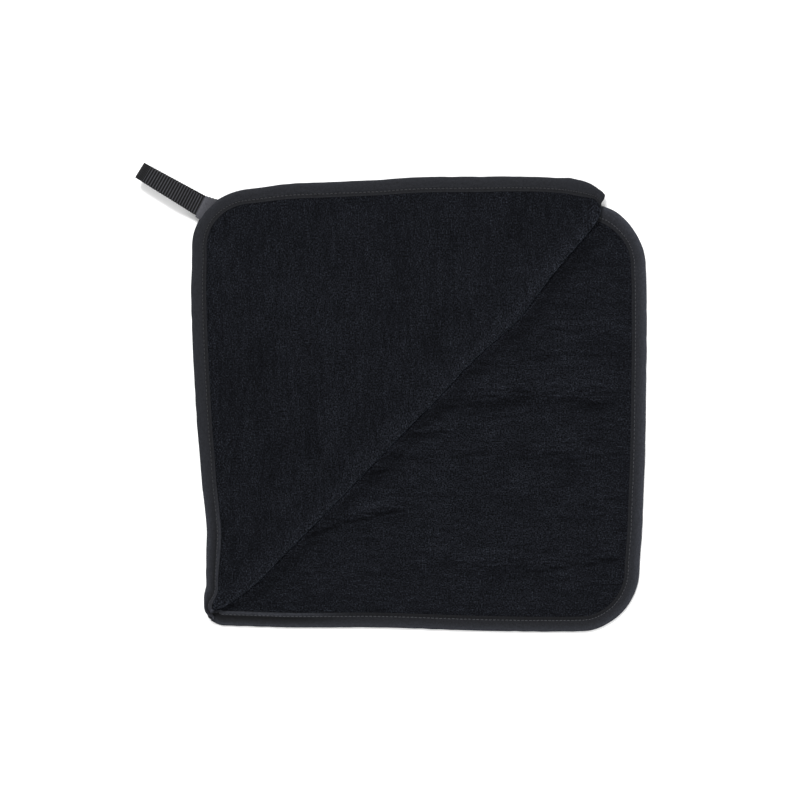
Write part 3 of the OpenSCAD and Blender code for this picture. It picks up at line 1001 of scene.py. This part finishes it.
# ---------------- seam of the tape's two ends
def tape_seam():
    """The folded end of the tape, a low welt lying aslant over it."""
    s0, e0, lean = 136.7, 5.6, math.radians(32)
    a, b = np.meshgrid(np.linspace(-9.5, 9.5, 40), np.linspace(-1, 1, 9), indexing="ij")
    s = s0 + a * math.cos(lean) - 0.9 * b * math.sin(lean)
    e = np.clip(e0 - a * math.sin(lean) - 0.9 * b * math.cos(lean), 0.5, 11.6)
    up = tape_half(e, s, "B") + 0.13 * (1 - b**2) - 0.03
    top = np.stack(lay_flap(*rail(s, e), up), -1)
    low = np.stack(lay_flap(*rail(s, e), up - 0.3), -1)
    sections = np.concatenate([top, low[:, ::-1]], axis=1)
    uv = np.stack([np.concatenate([s, s[:, ::-1]], 1), np.concatenate([e, e[:, ::-1]], 1)], -1)
    return swept("tape_seam", sections, uv, MAT_TAPE, 1.1 * tape_tone_and_light(uv[..., 0], uv[..., 1], "flap"))


seam = tape_seam()


# ---------------- hanging loop
def loop_path():
    """Side view of the loop: out along the lower ply, round the tip and back along the upper one."""
    tip_r = 2.8
    tip_s = LOOP_LEN - tip_r - PLY / 2
    out_s = np.linspace(-4, tip_s, 420)
    out_z = -PLY / 2 + 0 * out_s
    turn = turns(62)[1:-1]
    tip = (tip_s + tip_r * np.cos(turn), tip_r - PLY / 2 + tip_r * np.sin(turn))
    back_s = out_s[::-1]
    high = 2 * tip_r - PLY / 2
    back_z = PLY / 2 + (high - PLY / 2) * smooth(2, 24, back_s)
    s = np.concatenate([out_s, tip[0], back_s])
    z = np.concatenate([out_z, tip[1], back_z])
    upper = np.concatenate([0 * out_s, smooth(-1.5, 1.5, turn), 1 + 0 * out_s])
    return s, z, upper


def on_loop(s, w, z):
    """A place s out from the root, w towards the lower left and z up, as a point."""
    c, d = math.cos(LOOP_ANGLE), math.sin(LOOP_ANGLE)
    s = s - 0.087 * w * np.clip(1 - s / LOOP_LEN, 0, 1)          # the root is cut a little aslant
    return np.stack([ROOT[0] + s * c - w * d, ROOT[1] + s * d + w * c, ROOT_Z + z], -1)


def build_loop():
    """The two plies: the lower one peeps out on the upper side of the root."""
    s, z, upper = loop_path()
    ds, dz = np.gradient(s), np.gradient(z)
    length = np.hypot(ds, dz)
    ns, nz = dz / length, -ds / length          # outward: down on the lower ply
    run = np.concatenate([[0], np.cumsum(np.hypot(np.diff(s), np.diff(z)))])
    # the ribs are set closer round the tip
    past = run - run[-1] / 2
    fine = smooth(9.5, 6.0, np.abs(past))
    count = np.concatenate([[0], np.cumsum(np.diff(run) / RIB * (1 + 1.2 * (fine[1:] + fine[:-1]) / 2))])
    rib = (0.5 + 0.5 * np.sin(2 * np.pi * count))**0.8 * (1 - 0.5 * fine)
    fade = smooth(0.2, 1.2, s)
    root = np.clip(1 - s / LOOP_LEN, 0, 1)
    wide = 6.95 + 0.85 * root + 0.26 * rib * fade
    centre = -(2.2 - 1.6 * upper) * root
    w = np.linspace(-1, 1, 25)
    w = np.sign(w) * np.abs(w)**0.85
    cross = np.concatenate([w, w[::-1]])
    face = np.concatenate([np.ones(25), -np.ones(25)])
    edge = np.sqrt(np.clip(1 - np.abs(cross)**14, 0.03, 1))
    ply = (PLY / 2 - 0.26) + 0.40 * rib * fade
    off = face[None, :] * edge[None, :] * ply[:, None]
    pw = centre[:, None] + cross[None, :] * wide[:, None]
    sections = on_loop(s[:, None] + off * ns[:, None], pw, z[:, None] + off * nz[:, None])
    uv = np.stack([np.broadcast_to(count[:, None], pw.shape), pw], -1)
    # painted shade on the lower ply where it peeps out under the upper one, and darker round the tip
    peeping = (1 - upper[:, None]) * smooth(0.1, 0.5, root)[:, None] * smooth(-0.3, -0.7, cross)[None, :]
    shade = (1 - 0.62 * fine[:, None]) * (1 - 0.85 * peeping)
    return swept("loop_webbing", sections, uv, MAT_WEB, shade)


def build_patch():
    """Plain end of the webbing between the ribs and the binding, both plies held together."""
    s = np.linspace(-12.5, 0.3, 100)
    a = np.linspace(0, 2 * math.pi, 64, endpoint=False)
    scallop = 0.16 * np.sin(2 * np.pi * s / 2.6)
    low, high = -10.2 + 0.26 * s + scallop, 8.6 + scallop
    thick = 1.12 * np.sqrt(np.clip(1 - ((s + 6) / 6.6)**8, 0.2, 1))
    shape_w = np.sign(np.cos(a)) * np.abs(np.cos(a))**0.25
    shape_z = np.sign(np.sin(a)) * np.abs(np.sin(a))**0.5
    pw = ((low + high) / 2)[:, None] + shape_w[None, :] * ((high - low) / 2)[:, None]
    pz = shape_z[None, :] * thick[:, None]
    ps = np.broadcast_to(s[:, None], pw.shape)
    uv = np.stack([ps + 200, pw + 20 * (pz > 0)], -1)
    return swept("loop_patch_cloth", on_loop(ps, pw, pz), uv, MAT_PATCH)


loop = build_loop()
patch = build_patch()

# ---------------- riding on the bodies
def mm(*lengths):
    return tuple(length * 0.001 for length in lengths)


for piece in (terry_base, tape_base, rows["base", "front"], rows["base", "back"]):
    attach(piece, "base_leaf")
for piece in (terry_cover, tape_cover, tape_nook, rows["cover", "front"], rows["cover", "back"]):
    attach(piece, "top_leaf")
for piece in (terry_flap, tape_flap, rows["flap", "front"], rows["flap", "back"], seam, patch):
    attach(piece, "corner_flap")
for piece in (terry_left, tape_left_up, tape_left_low):
    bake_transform(piece)
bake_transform(terry_diag)
for piece in (terry_diag_left, terry_diag_right, tape_diag_right, tape_diag_left):
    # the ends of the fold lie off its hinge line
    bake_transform(piece)
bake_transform(loop)

STANDS_FOR = [
    (terry_base, "base_terry"), (tape_base, "base_binding"),
    (rows["base", "front"], "base_front_thread"), (rows["base", "back"], "base_back_thread"),
    (terry_left, "left_fold_terry"), (tape_left_up, "left_fold_binding_upper"),
    (tape_left_low, "left_fold_binding_lower"), (terry_cover, "cover_terry"), (tape_cover, "cover_binding"),
    (rows["cover", "front"], "cover_front_thread"), (rows["cover", "back"], "cover_back_thread"),
    (terry_diag, "diagonal_fold_terry"), (terry_diag_left, "diagonal_fold_terry"),
    (terry_diag_right, "diagonal_fold_terry"), (tape_diag_right, "diagonal_fold_binding_right"),
    (tape_diag_left, "diagonal_fold_binding_left"), (terry_flap, "flap_terry"), (tape_flap, "flap_binding"),
    (rows["flap", "front"], "flap_front_thread"), (rows["flap", "back"], "flap_back_thread"),
    (seam, "binding_join"), (patch, "loop_patch", "loop_root"), (loop, "hanging_loop")]
for piece, *nodes in STANDS_FOR:
    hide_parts(*nodes)

# ---------------- floor, light and camera
floor_mat = bpy.data.materials.new("floor")
floor_mat.use_nodes = True
floor_bsdf = floor_mat.node_tree.nodes["Principled BSDF"]
floor_bsdf.inputs["Base Color"].default_value = (0.92, 0.92, 0.92, 1)
floor_bsdf.inputs["Roughness"].default_value = 0.9
floor_bsdf.inputs["Specular IOR Level"].default_value = 0.0
bpy.ops.mesh.primitive_plane_add(size=8, location=(0, 0, -0.0003))
floor = bpy.context.object
floor.name = "floor"
floor.data.materials.append(floor_mat)

world = bpy.data.worlds.new("studio")
bpy.context.scene.world = world
world.use_nodes = True
world.node_tree.nodes["Background"].inputs["Color"].default_value = (1, 1, 1, 1)
world.node_tree.nodes["Background"].inputs["Strength"].default_value = 0.92


def area_light(name, place, size, power):
    data = bpy.data.lights.new(name, "AREA")
    data.shape = "DISK"
    data.size = size
    data.energy = power
    ob = bpy.data.objects.new(name, data)
    bpy.context.scene.collection.objects.link(ob)
    ob.location = place
    ob.rotation_euler = (-Vector(place)).to_track_quat("-Z", "Y").to_euler()
    return ob


area_light("key", (-0.95, 2.5, 2.75), 1.1, 170)
area_light("fill", (1.5, -2.0, 1.3), 1.5, 26)

camera_data = bpy.data.cameras.new("camera")
camera_data.lens, camera_data.sensor_width = 140.6, 36
camera = bpy.data.objects.new("camera", camera_data)
camera.location = (-0.0212, 0.0116, 2.506)
bpy.context.scene.collection.objects.link(camera)
bpy.context.scene.camera = camera
bpy.context.scene.view_settings.view_transform = "Standard"
